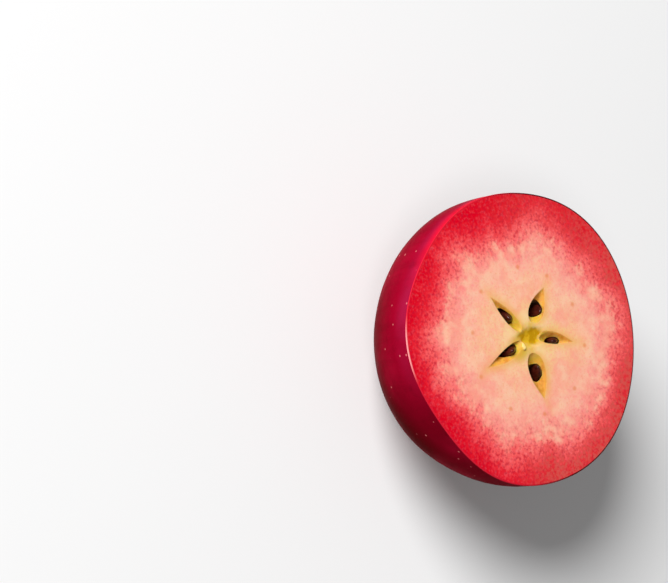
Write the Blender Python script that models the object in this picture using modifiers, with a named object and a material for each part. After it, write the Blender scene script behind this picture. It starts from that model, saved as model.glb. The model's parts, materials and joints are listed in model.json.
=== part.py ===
"""Half of a red-fleshed apple, cut across its core and lying on its calyx end.

The cut face is level and on top, with the five seed cavities (locules) open in it and a pip
standing in each. The half rests on the five lobes round the calyx basin. Metres, +Z up.
The origin is under the middle of the half, on the surface that it rests on.
"""
import math
from collections import namedtuple

import bmesh
import bpy
from mathutils import Matrix, Vector

MM = 0.001

# The half's driving dimensions
FACE_HEIGHT = 37.8 * MM
FACE_RADIUS = 37.2 * MM
WIDEST_DEPTH = 4.0 * MM
APEX_DEPTH = 40.0 * MM
SIDE_FULLNESS = 1.85
MIDDLE = (-0.3 * MM, 0.7 * MM)

# The cut outline isn't a circle: waves round it as (count, height, turn in degrees)
FACE_WAVES = (
    (3, 0.58 * MM, 42.0),
    (5, 0.34 * MM, -108.0),
    (6, 0.19 * MM, 164.0),
    (4, 0.09 * MM, -49.0),
)
LOWER_WAVES = ((3, 0.46 * MM, -150.0),)
WAVE_CHANGE_DEPTH = 22.8 * MM

# The calyx end: a basin with five lobes round it, and the dried sepals in its floor
BASIN_DEPTH = 8.0 * MM
BASIN_WIDTH = 7.0 * MM
LOBE_COUNT = 5
LOBE_HEIGHT = 0.75 * MM
LOBE_RING_RADIUS = 11.5 * MM
LOBE_SPREAD = 6.0 * MM
LOBE_TURN = -108.0
SEPAL_LENGTH = 5.2 * MM
SEPAL_ROOT_RADIUS = 1.5 * MM
SEPAL_TIP_RADIUS = 0.35 * MM
SEPAL_FLATNESS = 0.45
SEPAL_RING_RADIUS = 3.0 * MM
SEPAL_LEAN = 24.0
SEPAL_ROOT_HEIGHT = 6.4 * MM

# The seed cavities: a shallow leaf-shaped dish in the cut face, and a deep pocket round the pip
DISH_DEPTH = 1.2 * MM
DISH_RISE = 1.5 * MM
LEAF_INNER_POWER = 0.55
LEAF_TIP_POWER = 1.05
POCKET_SPARE = 0.35 * MM
DEEPEST_CUT = 9.0 * MM

# The pips: flattened drops, standing with the narrow end up
PIP_LENGTH = 7.9 * MM
PIP_WIDTH = 4.7 * MM
PIP_THICKNESS = 2.8 * MM
PIP_TAPER = 0.3

SIDE_STEPS = 80
UPPER_RINGS = 3
LOWER_RINGS = 34

# One row a locule, as seen from above, in millimetres and degrees. angle is from +X, turning
# towards +Y; inner and tip are distances from the core; left and right are the leaf's half
# widths. The pip's middle is at out and side, its narrow end at top above the cut face, and it
# leans out and sideways. deep_from and deep_to say where, along the leaf's edge that lies
# towards -Y, the cavity is open down to the pip.
Locule = namedtuple(
    "Locule", "angle inner tip left right out side top lean_out lean_side deep_from deep_to"
)
LOCULES = (
    Locule(10.0, 4.3, 16.6, 3.4, 2.4, 9.9, 1.8, 0.6, -28.0, -23.0, 6.7, 10.9),
    Locule(79.0, 3.9, 15.8, 2.3, 1.1, 10.6, 0.5, 0.2, -30.0, -16.0, 5.9, 9.8),
    Locule(145.0, 4.2, 14.4, 2.3, 2.8, 9.0, -2.1, 0.2, -13.0, 12.0, 5.2, 10.1),
    Locule(221.0, 2.0, 15.0, 1.5, 1.8, 7.0, -1.3, 0.5, 1.0, 26.0, 6.0, 11.4),
    Locule(294.0, 2.0, 15.2, 2.5, 1.1, 5.5, 0.9, 1.1, 19.0, -12.0, 4.7, 10.8),
)


def remove_everything():
    for item in list(bpy.data.objects):
        bpy.data.objects.remove(item, do_unlink=True)


def new_collection(name):
    collection = bpy.data.collections.new(name)
    bpy.context.scene.collection.children.link(collection)
    return collection


def make_material(name, colour, roughness):
    material = bpy.data.materials.new(name)
    material.use_nodes = True
    shader = material.node_tree.nodes["Principled BSDF"]
    shader.inputs["Base Color"].default_value = (*colour, 1.0)
    shader.inputs["Roughness"].default_value = roughness
    shader.inputs["Metallic"].default_value = 0.0
    return material


def add_object(name, mesh, collection):
    item = bpy.data.objects.new(name, mesh)
    collection.objects.link(item)
    return item


def evaluated_mesh(item):
    """The mesh of an object with its modifiers applied."""
    depsgraph = bpy.context.evaluated_depsgraph_get()
    return bpy.data.meshes.new_from_object(item.evaluated_get(depsgraph))


def smooth_step(value):
    value = min(max(value, 0.0), 1.0)
    return value * value * (3.0 - 2.0 * value)


def wave_sum(waves, angle):
    return sum(height * math.cos(count * angle - math.radians(turn)) for count, height, turn in waves)


def side_profile():
    """The turned side as (radius, depth below the cut face), from the rim to the basin's middle."""
    points = [(FACE_RADIUS, WIDEST_DEPTH * ring / UPPER_RINGS) for ring in range(UPPER_RINGS)]
    for ring in range(LOWER_RINGS + 1):
        turn = 0.5 * math.pi * ring / LOWER_RINGS
        radius = FACE_RADIUS * max(math.cos(turn), 0.0) ** (2.0 / SIDE_FULLNESS)
        depth = WIDEST_DEPTH + (APEX_DEPTH - WIDEST_DEPTH) * math.sin(turn)
        depth -= BASIN_DEPTH * math.exp(-(radius / BASIN_WIDTH) ** 2)
        points.append((0.0 if ring == LOWER_RINGS else radius, depth))
    return points


def turned_side(collection):
    """The side as an open skin: the profile turned by a Screw modifier."""
    bm = bmesh.new()
    ring = [bm.verts.new((radius, 0.0, FACE_HEIGHT - depth)) for radius, depth in side_profile()]
    for upper, lower in zip(ring, ring[1:]):
        bm.edges.new((upper, lower))
    mesh = bpy.data.meshes.new("side")
    bm.to_mesh(mesh)
    bm.free()
    side = add_object("side", mesh, collection)
    screw = side.modifiers.new("turn", "SCREW")
    screw.steps = SIDE_STEPS
    screw.render_steps = SIDE_STEPS
    screw.use_merge_vertices = True
    screw.merge_threshold = 0.00001
    turned = evaluated_mesh(side)
    bpy.data.objects.remove(side, do_unlink=True)
    return turned


def shape_by_hand(point):
    """Moves a point of the turned side to the fruit's own uneven outline, lobes and flat spots."""
    radius = math.hypot(point.x, point.y)
    if radius > 0.0:
        angle = math.atan2(point.y, point.x)
        lower = smooth_step((FACE_HEIGHT - point.z) / WAVE_CHANGE_DEPTH)
        wave = wave_sum(FACE_WAVES, angle) * (1.0 - lower) + wave_sum(LOWER_WAVES, angle) * lower
        near_ring = math.exp(-((radius - LOBE_RING_RADIUS) / LOBE_SPREAD) ** 2)
        lobe = math.cos(LOBE_COUNT * angle - math.radians(LOBE_TURN))
        point.z -= LOBE_HEIGHT * lobe * near_ring
        point.x *= 1.0 + wave / FACE_RADIUS
        point.y *= 1.0 + wave / FACE_RADIUS
    point.z = max(point.z, 0.0)


def closed_half(turned):
    """Closes the side with the flat cut face and gives it the fruit's true form."""
    bm = bmesh.new()
    bm.from_mesh(turned)
    bmesh.ops.remove_doubles(bm, verts=bm.verts, dist=0.00001)
    bmesh.ops.holes_fill(bm, edges=bm.edges, sides=0)
    for vert in bm.verts:
        shape_by_hand(vert.co)
    bmesh.ops.recalc_face_normals(bm, faces=bm.faces)
    bmesh.ops.translate(bm, verts=bm.verts, vec=(*MIDDLE, 0.0))
    mesh = bpy.data.meshes.new("half")
    bm.to_mesh(mesh)
    bm.free()
    return mesh


def make_sepal(number, collection):
    """One dried sepal of the calyx, a flattened cone that leans over the basin's middle."""
    bm = bmesh.new()
    bmesh.ops.create_cone(bm, cap_ends=True, segments=8, radius1=SEPAL_TIP_RADIUS,
                          radius2=SEPAL_ROOT_RADIUS, depth=SEPAL_LENGTH)
    around = math.radians(LOBE_TURN / LOBE_COUNT + 360.0 / LOBE_COUNT * (number + 0.5))
    place = (
        Matrix.Translation((*MIDDLE, SEPAL_ROOT_HEIGHT))
        @ Matrix.Rotation(around, 4, "Z")
        @ Matrix.Translation((SEPAL_RING_RADIUS, 0.0, 0.0))
        @ Matrix.Rotation(math.radians(SEPAL_LEAN), 4, "Y")
        @ Matrix.Translation((0.0, 0.0, -0.5 * SEPAL_LENGTH))
        @ Matrix.Diagonal((SEPAL_FLATNESS, 1.0, 1.0, 1.0))
    )
    bm.transform(place)
    mesh = bpy.data.meshes.new("sepal")
    bm.to_mesh(mesh)
    bm.free()
    return add_object(f"sepal_{number + 1}", mesh, collection)


def leaf_edges(locule, x):
    """The two edges of a leaf outline at a distance from the core, in the locule's own frame."""
    along = min(max((x / MM - locule.inner) / (locule.tip - locule.inner), 0.0), 1.0)
    inner_share = LEAF_INNER_POWER / (LEAF_INNER_POWER + LEAF_TIP_POWER)
    peak = inner_share ** LEAF_INNER_POWER * (1.0 - inner_share) ** LEAF_TIP_POWER
    wide = along ** LEAF_INNER_POWER * (1.0 - along) ** LEAF_TIP_POWER / peak
    return locule.left * wide * MM, -locule.right * wide * MM


def around_core(angle):
    """The place of a locule's own frame: its X axis points away from the core."""
    return Matrix.Translation((*MIDDLE, FACE_HEIGHT)) @ Matrix.Rotation(math.radians(angle), 4, "Z")


def add_cutter(name, bm, collection):
    mesh = bpy.data.meshes.new(name)
    bm.to_mesh(mesh)
    bm.free()
    cutter = add_object(name, mesh, collection)
    cutter.hide_render = True
    cutter.display_type = "WIRE"


def make_dish_cutter(locule, collection):
    """The shallow part of a seed cavity: a flat sphere drawn out to a leaf."""
    bm = bmesh.new()
    bmesh.ops.create_uvsphere(bm, u_segments=20, v_segments=14, radius=1.0)
    bm.transform(Matrix.Rotation(math.radians(90.0), 4, "Y"))
    for vert in bm.verts:
        ring = max(math.hypot(vert.co.y, vert.co.z), 1e-9)
        across, up = vert.co.y / ring, vert.co.z / ring
        vert.co.x = (locule.inner + (locule.tip - locule.inner) * 0.5 * (vert.co.x + 1.0)) * MM
        left, right = leaf_edges(locule, vert.co.x)
        wide = left / (locule.left * MM)
        vert.co.y = across * left if across > 0.0 else -across * right
        vert.co.z = up * wide * (DISH_RISE if up > 0.0 else DISH_DEPTH)
    bm.transform(around_core(locule.angle))
    add_cutter("dish", bm, collection)


def pip_form(locule, spare, around, along):
    """A flattened drop, narrow end up, leaning as it stands. spare widens it all round."""
    bm = bmesh.new()
    bmesh.ops.create_uvsphere(bm, u_segments=around, v_segments=along, radius=1.0)
    for vert in bm.verts:
        taper = (1.0 - PIP_TAPER * vert.co.z) / (1.0 + 0.5 * PIP_TAPER * PIP_TAPER)
        vert.co.x *= 0.5 * PIP_WIDTH * taper + spare
        vert.co.y *= 0.5 * PIP_THICKNESS * taper + spare
        vert.co.z *= 0.5 * PIP_LENGTH + spare
    bm.transform(Matrix.Rotation(math.radians(locule.lean_out), 4, "Y"))
    bm.transform(Matrix.Rotation(math.radians(-locule.lean_side), 4, "X"))
    top = max(vert.co.z for vert in bm.verts) - spare
    bm.transform(Matrix.Translation((locule.out * MM, locule.side * MM, locule.top * MM - top)))
    bm.transform(around_core(locule.angle))
    return bm


def make_pocket_cutter(locule, collection):
    """The deep part of a seed cavity: a convex hollow round the pip, open towards one edge."""
    bm = pip_form(locule, POCKET_SPARE, 16, 12)
    place = around_core(locule.angle)
    corners = [vert.co.copy() for vert in bm.verts]
    bm.clear()
    edge = 1 if math.cos(math.radians(locule.angle)) > 0.0 else 0
    for number in range(5):
        x = (locule.deep_from + (locule.deep_to - locule.deep_from) * number / 4) * MM
        y = leaf_edges(locule, x)[edge]
        corners += [place @ Vector((x, y, 0.0)), place @ Vector((x, y, 0.5 * DISH_RISE))]
    for corner in corners:
        bm.verts.new(corner)
    hull = bmesh.ops.convex_hull(bm, input=bm.verts)
    inside = {item for item in hull["geom_interior"] if isinstance(item, bmesh.types.BMVert)}
    bmesh.ops.delete(bm, geom=list(inside), context="VERTS")
    add_cutter("pocket", bm, collection)


def make_pip(number, locule, collection, material):
    mesh = bpy.data.meshes.new("pip")
    bm = pip_form(locule, 0.0, 14, 10)
    bm.to_mesh(mesh)
    bm.free()
    mesh.shade_smooth()
    mesh.materials.append(material)
    return add_object(f"pip_{number + 1}", mesh, collection)


def cut_and_join(half, sepals, cutters):
    """Joins the sepals to the half and opens the locules, then applies both."""
    join = half.modifiers.new("calyx", "BOOLEAN")
    join.operation = "UNION"
    join.operand_type = "COLLECTION"
    join.collection = sepals
    join.solver = "EXACT"
    cut = half.modifiers.new("locules", "BOOLEAN")
    cut.operation = "DIFFERENCE"
    cut.operand_type = "COLLECTION"
    cut.collection = cutters
    cut.solver = "EXACT"
    finished = evaluated_mesh(half)
    half.modifiers.clear()
    half.data = finished
    for item in list(sepals.objects):
        bpy.data.objects.remove(item, do_unlink=True)


def paint_half(mesh, skin, flesh):
    """Skin on the outside; flesh on the cut face and in the locules."""
    mesh.materials.clear()
    mesh.materials.append(skin)
    mesh.materials.append(flesh)
    core_reach = (max(locule.tip for locule in LOCULES) + 1.0) * MM
    for polygon in mesh.polygons:
        centre = polygon.center
        near_core = math.hypot(centre.x - MIDDLE[0], centre.y - MIDDLE[1]) < core_reach
        in_core = near_core and centre.z > FACE_HEIGHT - DEEPEST_CUT
        on_face = centre.z > FACE_HEIGHT - 0.01 * MM
        polygon.material_index = 1 if in_core or on_face else 0


def build():
    remove_everything()
    pieces = new_collection("apple_half")
    cutters = new_collection("cutters")
    sepals = new_collection("sepals")
    skin = make_material("skin", (0.36, 0.008, 0.03), 0.3)
    flesh = make_material("flesh", (0.92, 0.46, 0.36), 0.45)
    pip_coat = make_material("pip_coat", (0.035, 0.008, 0.006), 0.25)

    half = add_object("flesh_and_skin", closed_half(turned_side(pieces)), pieces)
    for number in range(LOBE_COUNT):
        make_sepal(number, sepals)
    for locule in LOCULES:
        make_dish_cutter(locule, cutters)
        make_pocket_cutter(locule, cutters)
    cut_and_join(half, sepals, cutters)
    paint_half(half.data, skin, flesh)
    half.data.shade_smooth()
    half.data.set_sharp_from_angle(angle=math.radians(40.0))
    for number, locule in enumerate(LOCULES):
        make_pip(number, locule, pieces, pip_coat)


build()
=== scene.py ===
import json
import math
from collections import namedtuple

import bmesh
import bpy
from mathutils import Matrix, Vector, noise

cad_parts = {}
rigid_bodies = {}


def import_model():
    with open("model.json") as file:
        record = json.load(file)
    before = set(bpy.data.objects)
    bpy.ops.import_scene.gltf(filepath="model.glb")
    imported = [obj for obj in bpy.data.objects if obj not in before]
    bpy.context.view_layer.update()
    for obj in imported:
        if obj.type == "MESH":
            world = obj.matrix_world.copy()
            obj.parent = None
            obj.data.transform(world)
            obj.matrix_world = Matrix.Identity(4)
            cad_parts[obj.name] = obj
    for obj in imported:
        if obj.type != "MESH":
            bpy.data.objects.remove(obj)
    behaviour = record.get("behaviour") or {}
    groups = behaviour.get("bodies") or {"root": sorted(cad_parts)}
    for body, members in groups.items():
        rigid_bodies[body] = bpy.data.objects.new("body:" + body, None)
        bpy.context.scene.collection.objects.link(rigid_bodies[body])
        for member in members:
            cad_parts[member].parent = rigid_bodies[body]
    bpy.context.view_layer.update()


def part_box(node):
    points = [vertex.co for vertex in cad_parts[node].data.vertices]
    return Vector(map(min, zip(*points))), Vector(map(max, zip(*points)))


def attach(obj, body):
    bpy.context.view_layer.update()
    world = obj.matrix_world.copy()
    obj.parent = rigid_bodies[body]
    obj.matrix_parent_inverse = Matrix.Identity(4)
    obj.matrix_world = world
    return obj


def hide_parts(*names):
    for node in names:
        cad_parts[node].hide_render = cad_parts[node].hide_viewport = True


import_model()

# The camera looks down on the cut face at the photograph's angle to it, 40.7 degrees off square.
# It is rolled, so that the core's axis points to the image's right and a little up, and the
# point of the face just beside the core falls where the photograph has it.
MM = 0.001
FACE_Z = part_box("flesh_and_skin")[1].z
CORE = Vector((-0.3 * MM, 0.7 * MM, 0.0))
IMAGE_SIZE = (668, 583)
AIM_PIXEL = (522.5, 337.9)
AIM_POINT = CORE + Vector((0.09 * MM, -1.38 * MM, FACE_Z))
PIXELS_PER_METRE = 3960.0
CAMERA_DISTANCE = 0.6
VIEW_ELEVATION = math.radians(49.3)
VIEW_ROLL = math.radians(8.7)
SENSOR_WIDTH = 36.0


def aimed_camera():
    """A camera whose centre line is turned just enough to put the aim point on its pixel."""
    low, high = math.cos(VIEW_ELEVATION), math.sin(VIEW_ELEVATION)
    towards_camera = Vector((0.0, -low, high))
    core_axis = Vector((0.0, high, low))
    image_up = Vector((-1.0, 0.0, 0.0))
    right = core_axis * math.cos(VIEW_ROLL) - image_up * math.sin(VIEW_ROLL)
    up = core_axis * math.sin(VIEW_ROLL) + image_up * math.cos(VIEW_ROLL)
    focal_pixels = PIXELS_PER_METRE * CAMERA_DISTANCE
    across = (AIM_PIXEL[0] - 0.5 * IMAGE_SIZE[0]) / focal_pixels
    down = (AIM_PIXEL[1] - 0.5 * IMAGE_SIZE[1]) / focal_pixels
    to_centre = Vector((across, -down, -1.0)).rotation_difference(Vector((0.0, 0.0, -1.0)))
    square_on = Matrix((right, up, towards_camera)).transposed()
    data = bpy.data.cameras.new("camera")
    data.sensor_width = SENSOR_WIDTH
    data.lens = focal_pixels * SENSOR_WIDTH / IMAGE_SIZE[0]
    camera = bpy.data.objects.new("camera", data)
    bpy.context.scene.collection.objects.link(camera)
    camera.rotation_mode = "QUATERNION"
    camera.rotation_quaternion = square_on.to_quaternion() @ to_centre
    camera.location = AIM_POINT + towards_camera * CAMERA_DISTANCE
    return camera


bpy.context.scene.camera = aimed_camera()

# The studio: a plain pale floor, white surroundings, a large soft light above on the image's
# upper left and a weaker one behind the camera, which fills the shadows.
FLOOR_SIZE = 6.0
FLOOR_COLOUR = (0.88, 0.88, 0.88, 1.0)
FLOOR_SURFACE = {"Roughness": 0.9, "Specular IOR Level": 0.1}
SURROUND_STRENGTH = 0.12
LIGHT_TARGET = Vector((0.0, 0.0, 0.03))
# Each light's name, width, power and place
SOFT_LIGHTS = (
    ("upper_left", 1.3, 78.0, (-1.34, -1.34, 1.38)),
    ("beside_camera", 0.75, 9.7, (0.45, -1.5, 2.1)),
)
bpy.context.scene.view_settings.view_transform = "Standard"


def step(tree, kind, inputs=None, **settings):
    """One shader node. Its inputs are values to set or sockets to join."""
    made = tree.nodes.new("ShaderNode" + kind)
    for name, value in settings.items():
        setattr(made, name, value)
    for name, value in (inputs or {}).items():
        if isinstance(value, bpy.types.NodeSocket):
            tree.links.new(value, made.inputs[name])
        else:
            made.inputs[name].default_value = value
    return made


def new_finish(name):
    """A new material with its node tree and its Principled shader."""
    finish = bpy.data.materials.new(name)
    finish.use_nodes = True
    return finish, finish.node_tree, finish.node_tree.nodes["Principled BSDF"]


def set_surface(shader, settings):
    for name, value in settings.items():
        shader.inputs[name].default_value = value


def pale_floor():
    bm = bmesh.new()
    bmesh.ops.create_grid(bm, x_segments=1, y_segments=1, size=0.5 * FLOOR_SIZE)
    mesh = bpy.data.meshes.new("floor")
    bm.to_mesh(mesh)
    bm.free()
    floor = bpy.data.objects.new("floor", mesh)
    bpy.context.scene.collection.objects.link(floor)
    finish, tree, shader = new_finish("floor_paint")
    shader.inputs["Base Color"].default_value = FLOOR_COLOUR
    set_surface(shader, FLOOR_SURFACE)
    mesh.materials.append(finish)


def soft_light(name, size, power, place):
    data = bpy.data.lights.new(name, "AREA")
    data.shape = "DISK"
    data.size = size
    data.energy = power
    light = bpy.data.objects.new(name, data)
    bpy.context.scene.collection.objects.link(light)
    light.location = place
    light.rotation_euler = (LIGHT_TARGET - Vector(place)).to_track_quat("-Z", "Y").to_euler()


pale_floor()
surround = bpy.data.worlds.new("surround")
surround.use_nodes = True
surround.node_tree.nodes["Background"].inputs["Color"].default_value = (1.0, 1.0, 1.0, 1.0)
surround.node_tree.nodes["Background"].inputs["Strength"].default_value = SURROUND_STRENGTH
bpy.context.scene.world = surround
for lamp in SOFT_LIGHTS:
    soft_light(*lamp)


# The flesh: the whole inside of the half, cut flat across the core. One closed solid, turned
# from a profile, brought to the fruit's own uneven outline, with the five seed cavities cut
# out of it. Its colour follows the distance to the rim, which the mesh carries as attributes.
FACE_RADIUS = 37.2 * MM
WIDEST_DEPTH = 4.0 * MM
APEX_DEPTH = 40.0 * MM
SIDE_FULLNESS = 1.85
FACE_WAVES = (
    (3, 0.58 * MM, 42.0),
    (5, 0.34 * MM, -108.0),
    (6, 0.19 * MM, 164.0),
    (4, 0.09 * MM, -49.0),
)
LOWER_WAVES = ((3, 0.46 * MM, -150.0),)
WAVE_CHANGE_DEPTH = 22.8 * MM
BASIN_DEPTH = 8.0 * MM
BASIN_WIDTH = 7.0 * MM
LOBE_COUNT = 5
LOBE_HEIGHT = 0.75 * MM
LOBE_RING_RADIUS = 11.5 * MM
LOBE_SPREAD = 6.0 * MM
LOBE_TURN = -108.0
SKIN_THICKNESS = 0.35 * MM
SPOKES = 288
MERGE_DISTANCE = 0.002 * MM
CORE_RING_GAP = 0.28 * MM
CORE_REACH = 18.5 * MM
FACE_RING_GAP = 0.6 * MM
FACE_TOLERANCE = 0.01 * MM
SIDE_RINGS = 60
UPPER_RING_PART = 12
SKIN_OVERLAP = 0.03 * MM

# The seed cavities, as in the solids: one row each, in millimetres and degrees. angle is from
# +X towards +Y; inner and tip are distances from the core; left and right are the leaf's half
# widths; out, side and top place the pip, which leans outwards and sideways; deep_from and
# deep_to say where the cavity is open down to the pip along the leaf's side near the camera.
LOCULE_SIZES = "angle inner tip left right out side top lean_out lean_side deep_from deep_to"
Locule = namedtuple("Locule", LOCULE_SIZES)
LOCULES = (
    Locule(10.0, 4.3, 16.6, 3.4, 2.4, 9.9, 1.8, 0.6, -28.0, -23.0, 6.7, 10.9),
    Locule(79.0, 3.9, 15.8, 2.3, 1.1, 10.6, 0.5, 0.2, -30.0, -16.0, 5.9, 9.8),
    Locule(145.0, 4.2, 14.4, 2.3, 2.8, 9.0, -2.1, 0.2, -13.0, 12.0, 5.2, 10.1),
    Locule(221.0, 2.0, 15.0, 1.5, 1.8, 7.0, -1.3, 0.5, 1.0, 26.0, 6.0, 11.4),
    Locule(294.0, 2.0, 15.2, 2.5, 1.1, 5.5, 0.9, 1.1, 19.0, -12.0, 4.7, 10.8),
)
DISH_DEPTH = 1.2 * MM
DISH_RISE = 1.5 * MM
DISH_FAR_POWER = 2.2
DISH_SEGMENTS = 48
LEAF_INNER_POWER = 0.55
LEAF_TIP_POWER = 1.05
PIP_LENGTH = 7.9 * MM
PIP_WIDTH = 4.7 * MM
PIP_THICKNESS = 2.8 * MM
PIP_TAPER = 0.3
POCKET_SPARE = 0.15 * MM
POCKET_SEGMENTS = (40, 32)
POCKET_EDGE_STEPS = 8
DEEPEST_CUT = 9.0 * MM

# The hollow in the middle of the core, with its lumps and its ragged, soft edge
HOLLOW_MIDDLE = (0.1 * MM, 1.8 * MM)
HOLLOW_HALF_WIDTH = 3.0 * MM
HOLLOW_HALF_LENGTH = 5.8 * MM
HOLLOW_DEPTH = 0.55 * MM
HOLLOW_RAGGED = 0.14
HOLLOW_EDGE = 0.7
HOLLOW_LUMP_SIZE = 1.1 * MM
HOLLOW_LUMP_SHARE = 0.2
CORE_TISSUE_REACH = 6.0 * MM
CORE_LUMP_HEIGHT = 0.20 * MM
CORE_LUMP_FRACTAL = (0.8, 2.0, 3)

# The pale bit of tissue that stands up beside the hollow
LOOSE_BIT_PLACE = (2.2 * MM, -1.5 * MM)
LOOSE_BIT_TURN = 10.0
LOOSE_BIT_HALF_LENGTH = 1.3 * MM
LOOSE_BIT_HALF_WIDTH = 0.65 * MM
LOOSE_BIT_HEIGHT = 0.45 * MM
LOOSE_BIT_EDGE = 0.5

# The ochre stain in the flesh round each seed cavity
HALO_REACH = 1.3 * MM
HALO_INNER_REACH = 0.7 * MM
HALO_EDGE = 0.65
HALO_TIP_STRETCH = 0.45
HALO_INNER_STRETCH = 0.3
HALO_LEAN = 0.3
HALO_FADE = 1.4
STAIN_REACH = CORE_REACH + 4.0 * MM

# Where the red zone starts, as a share of the way to the rim, waves round the face
RED_SHORE_WAVES = (
    (1, 0.031, 47.0),
    (2, 0.031, 147.0),
    (3, 0.014, -88.0),
    (5, 0.019, 46.0),
    (6, 0.017, -139.0),
)

# The ten bundles of veins round the core: angle and distance from the core
VEINS = (
    (-136.0, 17.9 * MM), (-100.0, 17.4 * MM), (-64.0, 18.5 * MM), (-27.0, 19.2 * MM),
    (6.0, 20.0 * MM), (42.0, 19.9 * MM), (77.0, 19.4 * MM), (111.0, 18.2 * MM),
    (146.0, 17.6 * MM), (178.0, 17.8 * MM),
)


def smooth_step(value):
    value = min(max(value, 0.0), 1.0)
    return value * value * (3.0 - 2.0 * value)


def wave_sum(waves, angle):
    return sum(height * math.cos(count * angle - math.radians(turn)) for count, height, turn in waves)


def side_profile(rings):
    """The side as (radius, depth below the cut face), from the rim to the basin's middle."""
    upper = max(3, rings // UPPER_RING_PART)
    points = [(FACE_RADIUS, WIDEST_DEPTH * ring / upper) for ring in range(upper)]
    for ring in range(rings + 1):
        turn = 0.5 * math.pi * ring / rings
        radius = FACE_RADIUS * max(math.cos(turn), 0.0) ** (2.0 / SIDE_FULLNESS)
        depth = WIDEST_DEPTH + (APEX_DEPTH - WIDEST_DEPTH) * math.sin(turn)
        depth -= BASIN_DEPTH * math.exp(-(radius / BASIN_WIDTH) ** 2)
        points.append((0.0 if ring == rings else radius, depth))
    return points


def inset_profile(points, inset):
    """The same profile moved inwards by a wall's thickness, square to itself."""
    moved = []
    for index, (radius, depth) in enumerate(points):
        before = points[max(index - 1, 0)]
        after = points[min(index + 1, len(points) - 1)]
        run = Vector((after[0] - before[0], after[1] - before[1])).normalized()
        moved.append((max(radius - run.y * inset, 0.0), depth + run.x * inset))
    moved[-1] = (0.0, moved[-1][1])
    return moved


def outline_wave(angle, depth):
    lower = smooth_step(depth / WAVE_CHANGE_DEPTH)
    return wave_sum(FACE_WAVES, angle) * (1.0 - lower) + wave_sum(LOWER_WAVES, angle) * lower


def to_fruit_shape(point):
    """Moves a point of a turned shape, with the cut face at FACE_Z, to the fruit's true form."""
    radius = math.hypot(point.x, point.y)
    if radius > 0.0:
        angle = math.atan2(point.y, point.x)
        depth = FACE_Z - point.z
        near_ring = math.exp(-((radius - LOBE_RING_RADIUS) / LOBE_SPREAD) ** 2)
        lobe = math.cos(LOBE_COUNT * angle - math.radians(LOBE_TURN))
        point.z -= LOBE_HEIGHT * lobe * near_ring * smooth_step(depth / WAVE_CHANGE_DEPTH)
        grow = 1.0 + outline_wave(angle, depth) / FACE_RADIUS
        point.x *= grow
        point.y *= grow


def turned_shape(points):
    """A closed solid from a profile of (radius, depth) points that starts and ends on the axis.
    A quarter is turned first and then repeated, which is quicker than a whole turn."""
    bm = bmesh.new()
    ring = [bm.verts.new((radius, 0.0, FACE_Z - depth)) for radius, depth in points]
    edges = [bm.edges.new(pair) for pair in zip(ring, ring[1:])]
    quarter = 0.25 * math.tau
    bmesh.ops.spin(bm, geom=ring + edges, cent=(0.0, 0.0, 0.0), axis=(0.0, 0.0, 1.0),
                   angle=quarter, steps=SPOKES // 4)
    whole = bm.verts[:] + bm.edges[:] + bm.faces[:]
    bmesh.ops.spin(bm, geom=whole, cent=(0.0, 0.0, 0.0), axis=(0.0, 0.0, 1.0),
                   angle=3.0 * quarter, steps=3, use_duplicate=True)
    bmesh.ops.remove_doubles(bm, verts=bm.verts, dist=MERGE_DISTANCE)
    bmesh.ops.recalc_face_normals(bm, faces=bm.faces)
    return bm


def finished_object(name, bm):
    mesh = bpy.data.meshes.new(name)
    bm.to_mesh(mesh)
    bm.free()
    item = bpy.data.objects.new(name, mesh)
    bpy.context.scene.collection.objects.link(item)
    return item


def around_core(angle):
    """The place of a locule's own frame: its X axis points away from the core."""
    place = Matrix.Translation(CORE + Vector((0.0, 0.0, FACE_Z)))
    return place @ Matrix.Rotation(math.radians(angle), 4, "Z")


def leaf_edges(locule, x):
    """The two edges of a leaf outline at a distance from the core, in the locule's own frame."""
    along = min(max((x / MM - locule.inner) / (locule.tip - locule.inner), 0.0), 1.0)
    inner_share = LEAF_INNER_POWER / (LEAF_INNER_POWER + LEAF_TIP_POWER)
    peak = inner_share ** LEAF_INNER_POWER * (1.0 - inner_share) ** LEAF_TIP_POWER
    wide = along ** LEAF_INNER_POWER * (1.0 - along) ** LEAF_TIP_POWER / peak
    return locule.left * wide * MM, -locule.right * wide * MM


def far_side(locule):
    """Which side of a leaf lies away from the camera: 1 for left, -1 for right."""
    return math.copysign(1.0, math.cos(math.radians(locule.angle)))


def dish_cutter(locule):
    """The open, leaf-shaped upper part of a locule: a shallow dish with one gentler side."""
    bm = bmesh.new()
    bmesh.ops.create_uvsphere(bm, u_segments=DISH_SEGMENTS, v_segments=DISH_SEGMENTS, radius=1.0)
    bm.transform(Matrix.Rotation(math.radians(90.0), 4, "Y"))
    for vert in bm.verts:
        ring = max(math.hypot(vert.co.y, vert.co.z), 1e-9)
        across, up = vert.co.y / ring, vert.co.z / ring
        vert.co.x = (locule.inner + (locule.tip - locule.inner) * 0.5 * (vert.co.x + 1.0)) * MM
        left, right = leaf_edges(locule, vert.co.x)
        wide = left / (locule.left * MM)
        vert.co.y = across * left if across > 0.0 else -across * right
        power = DISH_FAR_POWER if across * far_side(locule) > 0.0 else 1.0
        sunk = DISH_DEPTH * math.sqrt(wide) * (up * up) ** power
        vert.co.z = wide * (DISH_RISE * up if up > 0.0 else -sunk)
    bm.transform(around_core(locule.angle))
    return finished_object("dish_cutter", bm)


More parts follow.
